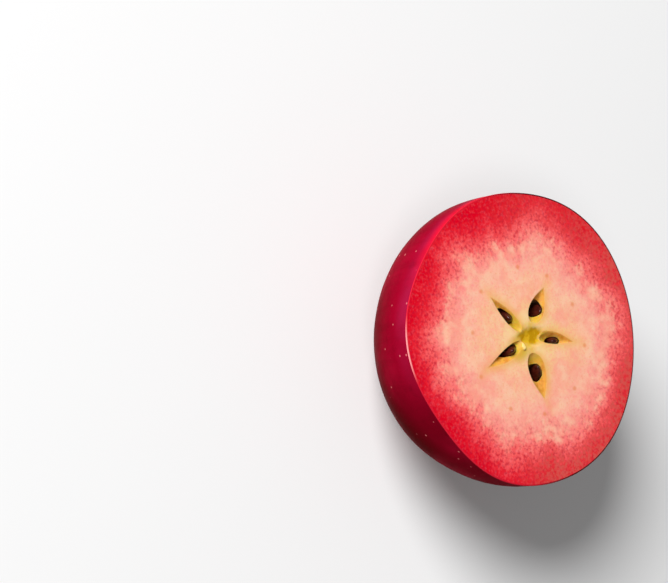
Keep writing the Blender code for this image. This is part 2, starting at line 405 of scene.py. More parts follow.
def pip_form(locule, spare, around, along):
    """A flattened drop in its place in a locule, narrow end up. spare widens it all round."""
    bm = bmesh.new()
    bmesh.ops.create_uvsphere(bm, u_segments=around, v_segments=along, radius=1.0)
    for vert in bm.verts:
        taper = (1.0 - PIP_TAPER * vert.co.z) / (1.0 + 0.5 * PIP_TAPER * PIP_TAPER)
        vert.co.x *= 0.5 * PIP_WIDTH * taper + spare
        vert.co.y *= 0.5 * PIP_THICKNESS * taper + spare
        vert.co.z *= 0.5 * PIP_LENGTH + spare
    bm.transform(Matrix.Rotation(math.radians(locule.lean_out), 4, "Y"))
    bm.transform(Matrix.Rotation(math.radians(-locule.lean_side), 4, "X"))
    top = max(vert.co.z for vert in bm.verts) - spare
    bm.transform(Matrix.Translation((locule.out * MM, locule.side * MM, locule.top * MM - top)))
    bm.transform(around_core(locule.angle))
    return bm


def pocket_cutter(locule):
    """The deep part of a locule: a convex hollow round the pip, open towards the near edge of
    the leaf outline, so that the pip's side shows under that edge."""
    bm = pip_form(locule, POCKET_SPARE, *POCKET_SEGMENTS)
    place = around_core(locule.angle)
    corners = [vert.co.copy() for vert in bm.verts]
    bm.clear()
    run = locule.deep_to - locule.deep_from
    for number in range(POCKET_EDGE_STEPS + 1):
        x = (locule.deep_from + run * number / POCKET_EDGE_STEPS) * MM
        y = leaf_edges(locule, x)[1 if far_side(locule) > 0.0 else 0]
        corners += [place @ Vector((x, y, 0.0)), place @ Vector((x, y, 0.5 * DISH_RISE))]
    for corner in corners:
        bm.verts.new(corner)
    hull = bmesh.ops.convex_hull(bm, input=bm.verts)
    inside = {item for item in hull["geom_interior"] if isinstance(item, bmesh.types.BMVert)}
    bmesh.ops.delete(bm, geom=list(inside), context="VERTS")
    return finished_object("pocket_cutter", bm)


def applied(item):
    """Applies an object's modifiers to its mesh."""
    mesh = bpy.data.meshes.new_from_object(item.evaluated_get(bpy.context.evaluated_depsgraph_get()))
    item.modifiers.clear()
    item.data = mesh


def cut_locules(flesh):
    """Cuts the five seed cavities out of the flesh: each a dish with a pocket round its pip."""
    cutters = bpy.data.collections.new("locule_cutters")
    bpy.context.scene.collection.children.link(cutters)
    for locule in LOCULES:
        for cutter in (dish_cutter(locule), pocket_cutter(locule)):
            bpy.context.scene.collection.objects.unlink(cutter)
            cutters.objects.link(cutter)
    cut = flesh.modifiers.new("locules", "BOOLEAN")
    cut.operation = "DIFFERENCE"
    cut.operand_type = "COLLECTION"
    cut.collection = cutters
    cut.solver = "EXACT"
    applied(flesh)
    for cutter in list(cutters.objects):
        bpy.data.objects.remove(cutter, do_unlink=True)
    bpy.data.collections.remove(cutters)


def hollow_share(from_core):
    """1 in the sunk middle of the core, 0 outside it."""
    across = (from_core.x - HOLLOW_MIDDLE[0]) / HOLLOW_HALF_WIDTH
    along = (from_core.y - HOLLOW_MIDDLE[1]) / HOLLOW_HALF_LENGTH
    ragged = HOLLOW_RAGGED * noise.noise(from_core.xy.to_3d() / HOLLOW_LUMP_SIZE)
    return smooth_step((1.0 + ragged - math.hypot(across, along)) / HOLLOW_EDGE)


def face_relief(from_core):
    """The cut face isn't quite flat: the core's middle is sunk and lumpy, with one raised bit."""
    place = from_core.xy.to_3d()
    lumps = noise.fractal(place / HOLLOW_LUMP_SIZE, *CORE_LUMP_FRACTAL)
    near_core = smooth_step(1.0 - place.length / CORE_TISSUE_REACH)
    height = CORE_LUMP_HEIGHT * lumps * near_core
    height -= HOLLOW_DEPTH * hollow_share(from_core) * (1.0 + HOLLOW_LUMP_SHARE * lumps)
    return height + LOOSE_BIT_HEIGHT * loose_bit_share(from_core)


def loose_bit_share(from_core):
    """1 on the pale bit of tissue that stands up beside the hollow."""
    turn = math.radians(LOOSE_BIT_TURN)
    x = from_core.x - LOOSE_BIT_PLACE[0]
    y = from_core.y - LOOSE_BIT_PLACE[1]
    along = (x * math.cos(turn) + y * math.sin(turn)) / LOOSE_BIT_HALF_LENGTH
    across = (y * math.cos(turn) - x * math.sin(turn)) / LOOSE_BIT_HALF_WIDTH
    return smooth_step((1.0 - math.hypot(along, across)) / LOOSE_BIT_EDGE)


def leaf_gap(locule, point):
    """How far a point in a locule's own frame lies outside its leaf outline; below 0 inside."""
    left, right = leaf_edges(locule, point.x)
    side = point.y - left if point.y > 0.0 else right - point.y
    inner_end = locule.inner * MM - point.x
    tip_end = HALO_TIP_STRETCH * (point.x - locule.tip * MM)
    if max(inner_end, tip_end) < 0.0:
        return side if side > 0.0 else max(side, HALO_INNER_STRETCH * inner_end)
    return math.hypot(max(side, 0.0), max(inner_end, tip_end))


def locule_halo(locule, point):
    """The stain of a locule: 1 inside it, less at its edge and fading outwards in the flesh,
    more so on its far side."""
    gap = leaf_gap(locule, point)
    if gap < 0.0:
        return HALO_EDGE + (1.0 - HALO_EDGE) * smooth_step(-gap / HALO_INNER_REACH)
    sideways = abs(math.cos(math.radians(locule.angle)))
    farther = smooth_step(0.5 + HALO_LEAN * point.y * far_side(locule) / MM)
    lean = 1.0 - sideways * (1.0 - farther)
    return HALO_EDGE * lean * math.exp(-((gap / HALO_REACH) ** HALO_FADE))


def face_attributes(mesh):
    """Writes what the flesh's colour follows. spoke is (cosine, sine, share of the way to the
    rim) and zone is that share less the red zone's waves. stain has the halo beside a locule,
    the sunk core and the loose bit."""
    mesh.attributes.new("spoke", "FLOAT_VECTOR", "POINT")
    mesh.attributes.new("zone", "FLOAT", "POINT")
    mesh.attributes.new("stain", "FLOAT_VECTOR", "POINT")
    spoke, zone, stain = (mesh.attributes[name] for name in ("spoke", "zone", "stain"))
    frames = [(locule, around_core(locule.angle).inverted()) for locule in LOCULES]
    for vert in mesh.vertices:
        from_core = vert.co - CORE
        angle = math.atan2(from_core.y, from_core.x)
        radius = math.hypot(from_core.x, from_core.y)
        share = radius / (FACE_RADIUS + wave_sum(FACE_WAVES, angle))
        if FACE_Z - vert.co.z > DEEPEST_CUT:
            share = 1.0
        spoke.data[vert.index].vector = (math.cos(angle), math.sin(angle), share)
        zone.data[vert.index].value = share - wave_sum(RED_SHORE_WAVES, angle)
        if radius < STAIN_REACH:
            halo = max(locule_halo(locule, inwards @ vert.co) for locule, inwards in frames)
            marks = (halo, hollow_share(from_core), loose_bit_share(from_core))
            stain.data[vert.index].vector = marks


def cut_flesh():
    outside = inset_profile(side_profile(SIDE_RINGS), SKIN_THICKNESS - SKIN_OVERLAP)
    edge = outside[0][0]
    core_rings = int(CORE_REACH / CORE_RING_GAP)
    face_rings = int((edge - CORE_REACH) / FACE_RING_GAP)
    face = [(CORE_REACH * ring / core_rings, 0.0) for ring in range(core_rings)]
    face += [(CORE_REACH + (edge - CORE_REACH) * ring / face_rings, 0.0) for ring in range(face_rings)]
    bm = turned_shape(face + [(edge, 0.0)] + outside[1:])
    for vert in bm.verts:
        to_fruit_shape(vert.co)
    bmesh.ops.translate(bm, verts=bm.verts, vec=CORE)
    for vert in bm.verts:
        if vert.co.z > FACE_Z - FACE_TOLERANCE:
            vert.co.z += face_relief(vert.co - CORE)
    return finished_object("flesh", bm)


def calc(tree, operation, first, second=0.0):
    return step(tree, "Math", {0: first, 1: second}, operation=operation).outputs[0]


def product(tree, first, second):
    return calc(tree, "MULTIPLY", first, second)


def between(tree, value, low, high, to_low=0.0, to_high=1.0):
    """A value's smooth change from to_low to to_high, as it goes from low to high."""
    inputs = {"Value": value, "From Min": low, "From Max": high, "To Min": to_low, "To Max": to_high}
    return step(tree, "MapRange", inputs, interpolation_type="SMOOTHSTEP").outputs["Result"]


def mixed(tree, share, first, second):
    """Two colours mixed: a share of the second over the first."""
    return step(tree, "Mix", {0: share, 6: first, 7: second}, data_type="RGBA").outputs[2]


def painted(tree, colour, share, paint):
    """A share of one plain colour over what is there."""
    return mixed(tree, share, colour, (*paint, 1.0))


def ramp(tree, value, stops):
    """A colour ramp from (place, colour) stops."""
    made = step(tree, "ValToRGB", {"Fac": value})
    band = made.color_ramp
    while len(band.elements) < len(stops):
        band.elements.new(0.5)
    for element, (place, colour) in zip(band.elements, stops):
        element.position = place
        element.color = (*colour, 1.0)
    return made.outputs["Color"]


def object_place(tree):
    return step(tree, "TexCoord").outputs["Object"]


def stored(tree, name, output="Vector"):
    """What the mesh carries under a name."""
    return step(tree, "Attribute", attribute_name=name).outputs[output]


def components(tree, vector):
    return step(tree, "SeparateXYZ", {0: vector}).outputs


def haze(tree, place, scale, detail):
    """Cloudy noise round 0.5, with scale features to a metre."""
    return step(tree, "TexNoise", {"Vector": place, "Scale": scale, "Detail": detail}).outputs["Fac"]


def cloud(tree, place, scale, detail, low=0.3, high=0.7, to_low=0.0, to_high=1.0):
    """The same noise, spread from to_low to to_high."""
    return between(tree, haze(tree, place, scale, detail), low, high, to_low, to_high)


def stretched(tree, vector, factors):
    return step(tree, "VectorMath", {0: vector, 1: factors}, operation="MULTIPLY").outputs[0]


def near(tree, place, spot, spread):
    """1 within the first distance of a spot, 0 beyond the second."""
    gap = step(tree, "VectorMath", {0: place, 1: spot}, operation="DISTANCE").outputs["Value"]
    return between(tree, gap, *spread, 1.0, 0.0)


def spots(tree, place, places, spread):
    """1 at each place, given by its angle and distance from the core."""
    total = None
    for angle, distance in places:
        turn = math.radians(angle)
        spot = CORE + Vector((distance * math.cos(turn), distance * math.sin(turn), FACE_Z))
        mark = near(tree, place, spot, spread)
        total = mark if total is None else calc(tree, "MAXIMUM", total, mark)
    return total


def fine_relief(tree, shader, height, strength, distance):
    bump = step(tree, "Bump", {"Strength": strength, "Distance": distance, "Height": height})
    tree.links.new(bump.outputs["Normal"], shader.inputs["Normal"])


# The flesh's colours from the core to the rim. Below, a range is (from, to), a cloud is (scale,
# detail, from, to), and the shares that follow are 0 and 1 where none are given.
FLESH_BANDS = (
    (0.00, (0.88, 0.58, 0.22)),
    (0.14, (0.90, 0.61, 0.29)),
    (0.26, (0.92, 0.53, 0.29)),
    (0.38, (0.93, 0.49, 0.29)),
    (0.49, (0.95, 0.46, 0.33)),
    (0.58, (0.96, 0.38, 0.30)),
    (0.66, (0.96, 0.285, 0.24)),
    (0.74, (0.94, 0.180, 0.165)),
    (0.82, (0.87, 0.090, 0.095)),
    (0.90, (0.78, 0.018, 0.034)),
    (1.00, (0.70, 0.001, 0.015)),
)
FIBRE_STRETCH = (22.0, 22.0, 8.0)
FIBRE_CLOUD = (1.0, 2.0, 0.3, 0.7, -0.005, 0.005)
STREAK_STRETCH = (5.0, 5.0, 3.0)
STREAK_CLOUD = (1.0, 1.0, 0.3, 0.7, -0.028, 0.028)
SHORE_PATCH_DETAIL = 2.0
SHORE_PATCHES = ((70.0, 0.035), (300.0, 0.014), (1100.0, 0.026))

# The grain: each colour with its range of the way to the rim and its cloud
DARK_GRAIN = (0.54, 0.007, 0.030)
PALE_GRAIN = (0.97, 0.20, 0.23)
SALMON = (0.95, 0.36, 0.27)
PALE_CREAM = (0.96, 0.64, 0.42)
ORANGE_SPECK = (0.88, 0.33, 0.19)
INNER_RANGE = (0.66, 0.80, 1.0, 0.0)
FLESH_GRAINS = (
    (DARK_GRAIN, (0.48, 0.84, 0.0, 0.65), (1250.0, 2.0, 0.46, 0.70)),
    (PALE_GRAIN, (0.70, 0.95, 0.35, 0.13), (1500.0, 2.0, 0.45, 0.70)),
    (SALMON, INNER_RANGE, (170.0, 4.0, 0.47, 0.66, 0.0, 0.75)),
    (PALE_CREAM, INNER_RANGE, (330.0, 4.0, 0.40, 0.72, 0.0, 0.55)),
    (ORANGE_SPECK, INNER_RANGE, (1900.0, 1.0, 0.58, 0.74, 0.0, 0.45)),
)

# The duller rim towards +Y
DULL_ROSE = (0.66, 0.105, 0.085)
DULL_ACROSS = (-0.35, 0.1)
DULL_ALONG = (-1.0, -0.3, 0.3, 1.0)
DULL_RANGE = (0.74, 0.92)
DULL_CLOUD = (1100.0, 3.0, 0.35, 0.65, 0.15, 0.8)

# The core's tissue, from its yellow middle to the pale ribs between the cavities
VEIN_COLOUR = (0.80, 0.22, 0.06)
VEIN_SPREAD = (0.15 * MM, 0.9 * MM)
VEIN_SHARE = 0.6
CORE_YELLOW = (0.70, 0.49, 0.075)
CORE_YELLOW_PLACE = CORE + Vector((0.3 * MM, 0.8 * MM, FACE_Z))
CORE_YELLOW_SPREAD = (2.2 * MM, 6.5 * MM)
CORE_YELLOW_CLOUD = (480.0, 3.0, 0.35, 0.65, 0.45, 1.0)
CORE_GREEN = (0.60, 0.40, 0.022)
CORE_GREEN_PLACE = CORE + Vector((2.7 * MM, -3.2 * MM, FACE_Z))
CORE_GREEN_SPREAD = (1.2 * MM, 4.4 * MM)
RIB_CREAM = (0.92, 0.66, 0.34)
RIB_SPREAD = (0.8 * MM, 2.6 * MM)
RIB_SHARE = 0.7
# The palest places between two cavities: angle and distance from the core
RIBS = (
    (183.0, 4.8 * MM),
    (124.0, 6.0 * MM),
    (44.6, 5.6 * MM),
    (255.0, 5.5 * MM),
)
HALO_OCHRE = (0.82, 0.42, 0.085)
HOLLOW_OLIVE = (0.70, 0.42, 0.016)
HOLLOW_BROWN = (0.52, 0.27, 0.004)
HOLLOW_BROWN_CLOUD = (420.0, 3.0, 0.42, 0.62)
HOLLOW_RANGE = (0.0, 0.8)
LOOSE_BIT_CREAM = (0.98, 0.72, 0.28)

FLESH_SURFACE = {
    "Subsurface Weight": 0.35,
    "Subsurface Radius": (1.0, 0.4, 0.25),
    "Subsurface Scale": 1.0 * MM,
    "Specular IOR Level": 0.025,
}
FLESH_WET_CLOUD = (620.0, 3.0, 0.3, 0.7, 0.36, 0.52)
FLESH_RELIEF_CLOUD = (1500.0, 3.0)
FLESH_RELIEF = (0.25, 0.06 * MM)


def uneven_shore(tree, place, spoke):
    """The way from the core to the rim that the colours follow, made uneven by fibres that run
    outwards, by streaks and by patches of three sizes."""
    fibres = cloud(tree, stretched(tree, spoke, FIBRE_STRETCH), *FIBRE_CLOUD)
    shore = calc(tree, "ADD", stored(tree, "zone", "Fac"), fibres)
    streaks = cloud(tree, stretched(tree, spoke, STREAK_STRETCH), *STREAK_CLOUD)
    shore = calc(tree, "ADD", shore, streaks)
    for scale, reach in SHORE_PATCHES:
        patches = cloud(tree, place, scale, SHORE_PATCH_DETAIL, to_low=-reach, to_high=reach)
        shore = calc(tree, "ADD", shore, patches)
    return shore


def dull_share(tree, place, spoke, shore):
    """How far the rim is duller than the rest: most towards +Y, less at the image's top."""
    sides = components(tree, spoke)
    dull = product(tree, between(tree, sides["Y"], *DULL_ACROSS), between(tree, shore, *DULL_RANGE))
    dull = product(tree, dull, between(tree, sides["X"], *DULL_ALONG))
    return product(tree, dull, cloud(tree, place, *DULL_CLOUD))


def core_tissue(tree, place, colour):
    """The veins, the yellow and green tissue and the pale ribs round the core, over the flesh."""
    veins = product(tree, spots(tree, place, VEINS, VEIN_SPREAD), VEIN_SHARE)
    colour = painted(tree, colour, veins, VEIN_COLOUR)
    yellow = near(tree, place, CORE_YELLOW_PLACE, CORE_YELLOW_SPREAD)
    yellow = product(tree, yellow, cloud(tree, place, *CORE_YELLOW_CLOUD))
    colour = painted(tree, colour, yellow, CORE_YELLOW)
    ribs = product(tree, spots(tree, place, RIBS, RIB_SPREAD), RIB_SHARE)
    colour = painted(tree, colour, ribs, RIB_CREAM)
    return painted(tree, colour, near(tree, place, CORE_GREEN_PLACE, CORE_GREEN_SPREAD), CORE_GREEN)


def flesh_finish():
    """Moist flesh: cream at the core, with a grainy red zone that fades inwards."""
    finish, tree, shader = new_finish("cut_flesh")
    place = object_place(tree)
    spoke = stored(tree, "spoke")
    shore = uneven_shore(tree, place, spoke)
    colour = ramp(tree, shore, FLESH_BANDS)
    for grain, shore_range, speckle in FLESH_GRAINS:
        share = product(tree, cloud(tree, place, *speckle), between(tree, shore, *shore_range))
        colour = painted(tree, colour, share, grain)
    colour = painted(tree, colour, dull_share(tree, place, spoke, shore), DULL_ROSE)
    colour = core_tissue(tree, place, colour)

    stains = components(tree, stored(tree, "stain"))
    colour = painted(tree, colour, stains["X"], HALO_OCHRE)
    brown = cloud(tree, place, *HOLLOW_BROWN_CLOUD)
    hollow = mixed(tree, brown, (*HOLLOW_OLIVE, 1.0), (*HOLLOW_BROWN, 1.0))
    colour = mixed(tree, between(tree, stains["Y"], *HOLLOW_RANGE), colour, hollow)
    colour = painted(tree, colour, stains["Z"], LOOSE_BIT_CREAM)

    tree.links.new(colour, shader.inputs["Base Color"])
    set_surface(shader, FLESH_SURFACE)
    tree.links.new(cloud(tree, place, *FLESH_WET_CLOUD), shader.inputs["Roughness"])
    fine_relief(tree, shader, cloud(tree, place, *FLESH_RELIEF_CLOUD), *FLESH_RELIEF)
    return finish


# The locule's lining by its depth below the cut face, as a share of the full depth: painted shade
# makes it darker deeper in the cavity
LINING_SHADE_BY_DEPTH = (
    (0.0, (0.74, 0.35, 0.06)),
    (0.35, (0.56, 0.20, 0.018)),
    (1.0, (0.26, 0.08, 0.008)),
)
LINING_FULL_DEPTH = 3.0 * MM
LINING_UNEVEN_CLOUD = (600.0, 3.0, 0.3, 0.7, -0.2, 0.2)
LINING_EDGE = (0.92, 0.52, 0.26)
INNER_OLIVE = (0.64, 0.42, 0.035)
INNER_OLIVE_RANGE = (0.12, 0.25, 0.9, 0.0)
LINING_SURFACE = {
    "Roughness": 0.45,
    "Specular IOR Level": 0.15,
    "Subsurface Weight": 0.8,
    "Subsurface Radius": (1.0, 0.55, 0.15),
    "Subsurface Scale": 1.5 * MM,
}
LINING_RELIEF_CLOUD = (1600.0, 3.0)
LINING_RELIEF = (0.3, 0.08 * MM)


def lining_finish():
    """The locule's lining: thin and parchment-like, ochre at its edge, painted darker orange-brown
    below as shade in the cavity, and olive towards the core."""
    finish, tree, shader = new_finish("locule_lining")
    place = object_place(tree)
    height = components(tree, place)["Z"]
    # Painted shade: the lining darker the deeper it lies below the cut face
    depth = between(tree, height, FACE_Z - LINING_FULL_DEPTH, FACE_Z, 1.0, 0.0)
    depth = calc(tree, "ADD", depth, cloud(tree, place, *LINING_UNEVEN_CLOUD))
    olive = between(tree, components(tree, stored(tree, "spoke"))["Z"], *INNER_OLIVE_RANGE)
    colour = painted(tree, ramp(tree, depth, LINING_SHADE_BY_DEPTH), olive, INNER_OLIVE)
    inside = between(tree, components(tree, stored(tree, "stain"))["X"], 0.0, 1.0)
    colour = mixed(tree, inside, (*LINING_EDGE, 1.0), colour)
    tree.links.new(colour, shader.inputs["Base Color"])
    set_surface(shader, LINING_SURFACE)
    fine_relief(tree, shader, cloud(tree, place, *LINING_RELIEF_CLOUD), *LINING_RELIEF)
    return finish


SHALLOWEST_LINING = 0.02 * MM
HOLLOW_FLOOR = 1.5 * HOLLOW_DEPTH
FLESH_SHARP_ANGLE = math.radians(35.0)


def paint_flesh(mesh):
    """Flesh on the cut face and sides, lining in the seed cavities."""
    mesh.materials.append(flesh_finish())
    mesh.materials.append(lining_finish())
    frames = [(locule, around_core(locule.angle).inverted()) for locule in LOCULES]
    reach = max(locule.tip for locule in LOCULES) * MM
    for polygon in mesh.polygons:
        depth = FACE_Z - polygon.center.z
        centre = polygon.center - CORE
        near_core = math.hypot(centre.x, centre.y) < reach
        if SHALLOWEST_LINING < depth < DEEPEST_CUT and near_core:
            gap = min(leaf_gap(locule, inwards @ polygon.center) for locule, inwards in frames)
            polygon.material_index = 1 if gap < 0.0 or depth > HOLLOW_FLOOR else 0


flesh = cut_flesh()
cut_locules(flesh)
face_attributes(flesh.data)
paint_flesh(flesh.data)
flesh.data.shade_smooth()
flesh.data.set_sharp_from_angle(angle=FLESH_SHARP_ANGLE)
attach(flesh, "root")
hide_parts("flesh_and_skin")


# The skin: a thin waxy rind all over the outside, cut off flush with the face. A closed shell
# from two profiles, its rim edge rounded a little, with faint dents, pale dots and dark streaks.
SKIN_OVERHANG = 0.02 * MM
SKIN_RINGS = 110
SKIN_DENT = 0.10 * MM
SKIN_DENT_SIZE = 9.0 * MM
DENT_START_DEPTH = 2.0 * MM
# The rounded cut edge: how far each ring lies in from the outside and below the cut face
CUT_EDGE = (
    (SKIN_THICKNESS, 0.0),
    (0.45 * SKIN_THICKNESS, -SKIN_OVERHANG),
    (0.12 * SKIN_THICKNESS, 0.03 * MM),
    (0.0, 0.14 * MM),
)


def whole_skin():
    outside = side_profile(SKIN_RINGS)
    inside = inset_profile(outside, SKIN_THICKNESS)
    edge = [(FACE_RADIUS - inset, depth) for inset, depth in CUT_EDGE]
    shell = list(reversed(inside[1:])) + edge + outside[1:]
    bm = turned_shape(shell)
    for vert in bm.verts:
        dent = noise.noise(vert.co / SKIN_DENT_SIZE)
        to_fruit_shape(vert.co)
        sunk = smooth_step((FACE_Z - vert.co.z) / DENT_START_DEPTH)
        radius = math.hypot(vert.co.x, vert.co.y)
        if radius > 0.0:
            vert.co.x += SKIN_DENT * dent * sunk * vert.co.x / radius
            vert.co.y += SKIN_DENT * dent * sunk * vert.co.y / radius
        vert.co.z = max(vert.co.z, 0.0)
    bmesh.ops.translate(bm, verts=bm.verts, vec=CORE)
    return finished_object("skin", bm)


# The skin's colours and where they lie. A height is the share of the way up to the cut face;
# along is the cosine of the angle from +X, so that -1 is at the image's top.
SKIN_CRIMSON = (0.28, 0.0008, 0.016)
# Painted shade: the skin is painted darker lower down and towards +X, the side away from the main
# light
SKIN_PAINTED_SHADE = (0.085, 0.0003, 0.0015)
SKIN_SHADE_HEIGHT = (0.45, 0.95, 0.7, 0.0)
SKIN_SHADE_ALONG = (-0.1, 0.8, 0.0, 0.6)
SKIN_ROSE = (0.38, 0.003, 0.026)
SKIN_ROSE_CLOUD = (60.0, 3.0, 0.45, 0.75, 0.0, 0.5)
SKIN_MAROON = (0.13, 0.001, 0.006)
SKIN_STREAK_STRETCH = (16.0, 16.0, 1.6)
SKIN_STREAK_CLOUD = (1.0, 4.0, 0.45, 0.75, 0.0, 0.3)
SKIN_MOTTLE = (420.0, 4.0)
SKIN_MOTTLE_RANGE = (0.5, 0.75, 0.0, 0.3)
# Painted sheen: a patchy mauve tint just below the rim, towards the image's top, in place of the wax's
# soft reflection
SKIN_PAINTED_SHEEN = (0.32, 0.012, 0.060)
SKIN_SHEEN_HEIGHT = (0.84, 0.97)
SKIN_SHEEN_ALONG = (-0.25, 0.35, 0.5, 0.0)
SKIN_SHEEN_CLOUD = (90.0, 2.0, 0.35, 0.6)
# Painted light: brighter red just below the rim on the image's top side, where the main light falls
SKIN_PAINTED_LIGHT = (0.72, 0.004, 0.022)
SKIN_LIT_HEIGHT = (0.90, 1.0)
SKIN_LIT_ALONG = (-0.85, -0.35, 0.7, 0.0)

# The pale dots: one to a cell of a random pattern, with nearly half of the cells left empty
DOT_COLOUR = (0.66, 0.17, 0.17)
DOT_CELLS = {"Scale": 400.0, "Randomness": 1.0}
DOT_LEAST_SIZE = 0.45
DOT_RADIUS = (0.40, 1.0, 0.04, 0.13)
DOT_SOFT_EDGE = (-0.03, 0.02, 1.0, 0.0)
DOT_SHARE = 0.8

SKIN_ROUGHNESS_RANGE = (0.3, 0.7, 0.30, 0.38)
SKIN_SURFACE = {"Specular IOR Level": 0.001}
SKIN_RELIEF = (0.15, 0.05 * MM)


def skin_attributes(mesh):
    """Writes spoke: (cosine, sine, share of the way up to the cut face)."""
    spoke = mesh.attributes.new("spoke", "FLOAT_VECTOR", "POINT")
    for vert in mesh.vertices:
        from_core = vert.co - CORE
        angle = math.atan2(from_core.y, from_core.x)
        spoke.data[vert.index].vector = (math.cos(angle), math.sin(angle), from_core.z / FACE_Z)


def pale_dots(tree, place):
    """1 on the skin's dots, each of its own size, 0 between them."""
    cells = step(tree, "TexVoronoi", {"Vector": place, **DOT_CELLS})
    size = step(tree, "SeparateColor", {"Color": cells.outputs["Color"]}).outputs["Red"]
    beyond = calc(tree, "SUBTRACT", cells.outputs["Distance"], between(tree, size, *DOT_RADIUS))
    kept = calc(tree, "GREATER_THAN", size, DOT_LEAST_SIZE)
    return product(tree, between(tree, beyond, *DOT_SOFT_EDGE), kept)


def skin_finish():
    """Waxed red skin: crimson, darker streaks end to end, pale dots; painted shade, sheen and light.
    """
    finish, tree, shader = new_finish("waxed_skin")
    place = object_place(tree)
    spoke = stored(tree, "spoke")
    sides = components(tree, spoke)
    mottle = haze(tree, place, *SKIN_MOTTLE)
    # Painted shade: darker lower down and towards +X
    painted_shade = calc(tree, "ADD", between(tree, sides["Z"], *SKIN_SHADE_HEIGHT),
                between(tree, sides["X"], *SKIN_SHADE_ALONG))
    colour = mixed(tree, painted_shade, (*SKIN_CRIMSON, 1.0), (*SKIN_PAINTED_SHADE, 1.0))
    colour = painted(tree, colour, cloud(tree, place, *SKIN_ROSE_CLOUD), SKIN_ROSE)
    streaks = cloud(tree, stretched(tree, spoke, SKIN_STREAK_STRETCH), *SKIN_STREAK_CLOUD)
    colour = painted(tree, colour, streaks, SKIN_MAROON)
    colour = painted(tree, colour, between(tree, mottle, *SKIN_MOTTLE_RANGE), SKIN_MAROON)

    # Painted sheen: mauve patches just below the rim
    painted_sheen = product(tree, between(tree, sides["Z"], *SKIN_SHEEN_HEIGHT),
                    cloud(tree, place, *SKIN_SHEEN_CLOUD))
    painted_sheen = product(tree, painted_sheen, between(tree, sides["X"], *SKIN_SHEEN_ALONG))
    colour = painted(tree, colour, painted_sheen, SKIN_PAINTED_SHEEN)
    # Painted light: brighter red just below the rim on the lit side
    painted_light = product(tree, between(tree, sides["Z"], *SKIN_LIT_HEIGHT),
                      between(tree, sides["X"], *SKIN_LIT_ALONG))
    colour = painted(tree, colour, painted_light, SKIN_PAINTED_LIGHT)
    colour = painted(tree, colour, product(tree, pale_dots(tree, place), DOT_SHARE), DOT_COLOUR)

    tree.links.new(colour, shader.inputs["Base Color"])
    set_surface(shader, SKIN_SURFACE)
    tree.links.new(between(tree, mottle, *SKIN_ROUGHNESS_RANGE), shader.inputs["Roughness"])
    fine_relief(tree, shader, mottle, *SKIN_RELIEF)
    return finish


# The skin's cut edge: where its painted highlight and its dark stretch lie, by the cosine and sine
# round it
RIM_RED = (0.62, 0.012, 0.030)
RIM_PAINTED_HIGHLIGHT = (0.90, 0.30, 0.30)
RIM_HIGHLIGHT_MIDDLE = -0.03
RIM_HIGHLIGHT_ALONG = (0.05, 0.24, 1.0, 0.0)
RIM_MAROON = (0.085, 0.003, 0.006)
RIM_MAROON_ACROSS = (-0.3, 0.25)
RIM_SURFACE = {"Roughness": 0.4, "Specular IOR Level": 0.03}


def rim_finish():
    """The skin's cut edge, wet with juice: a hair-thin line with a painted pale highlight on one side
    and dark on the other."""
    finish, tree, shader = new_finish("skin_cut_edge")
    sides = components(tree, stored(tree, "spoke"))
    # Painted highlight: a pale stretch on the near side of the rim
    off_middle = calc(tree, "ABSOLUTE", calc(tree, "SUBTRACT", sides["X"], RIM_HIGHLIGHT_MIDDLE))
    painted_highlight = between(tree, off_middle, *RIM_HIGHLIGHT_ALONG)
    painted_highlight = product(tree, painted_highlight, calc(tree, "LESS_THAN", sides["Y"], 0.0))
    dark = between(tree, sides["Y"], *RIM_MAROON_ACROSS)
    colour = mixed(tree, dark, (*RIM_RED, 1.0), (*RIM_MAROON, 1.0))
    colour = painted(tree, colour, painted_highlight, RIM_PAINTED_HIGHLIGHT)
    tree.links.new(colour, shader.inputs["Base Color"])
    set_surface(shader, RIM_SURFACE)
    return finish


RIM_DEPTH = 0.16 * MM
RIM_LEAST_FACING_UP = 0.15
SKIN_SHARP_ANGLE = math.radians(50.0)


def paint_skin(mesh):
    """Waxed skin outside, the cut edge's own look along the rim."""
    mesh.materials.append(skin_finish())
    mesh.materials.append(rim_finish())
    for polygon in mesh.polygons:
        facing_up = polygon.normal.z > RIM_LEAST_FACING_UP
        on_rim = facing_up and polygon.center.z > FACE_Z - RIM_DEPTH
        polygon.material_index = 1 if on_rim else 0


skin = whole_skin()
skin_attributes(skin.data)
paint_skin(skin.data)
skin.data.shade_smooth()
skin.data.set_sharp_from_angle(angle=SKIN_SHARP_ANGLE)
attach(skin, "root")
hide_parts("flesh_and_skin")


# The pips: whole, hard and glossy dark brown, each standing narrow end up in its locule.
# A sphere drawn out to a flattened drop, with fine grooves from end to end.
PIP_SEGMENTS = (56, 40)
PIP_BLACK_BROWN = (0.018, 0.003, 0.003)
PIP_RED_BROWN = (0.070, 0.008, 0.004)
PIP_TONE_CLOUD = (320.0, 2.0)
PIP_GROOVE_BROWN = (0.11, 0.020, 0.010)
PIP_GROOVE_SHARE = 0.4
PIP_GROOVE_STRETCH = (1.0, 1.0, 0.12)
PIP_GROOVE_CLOUD = (2600.0, 3.0)
PIP_SURFACE = {"Roughness": 0.22, "Specular IOR Level": 0.3}
PIP_RELIEF = (0.35, 0.05 * MM)


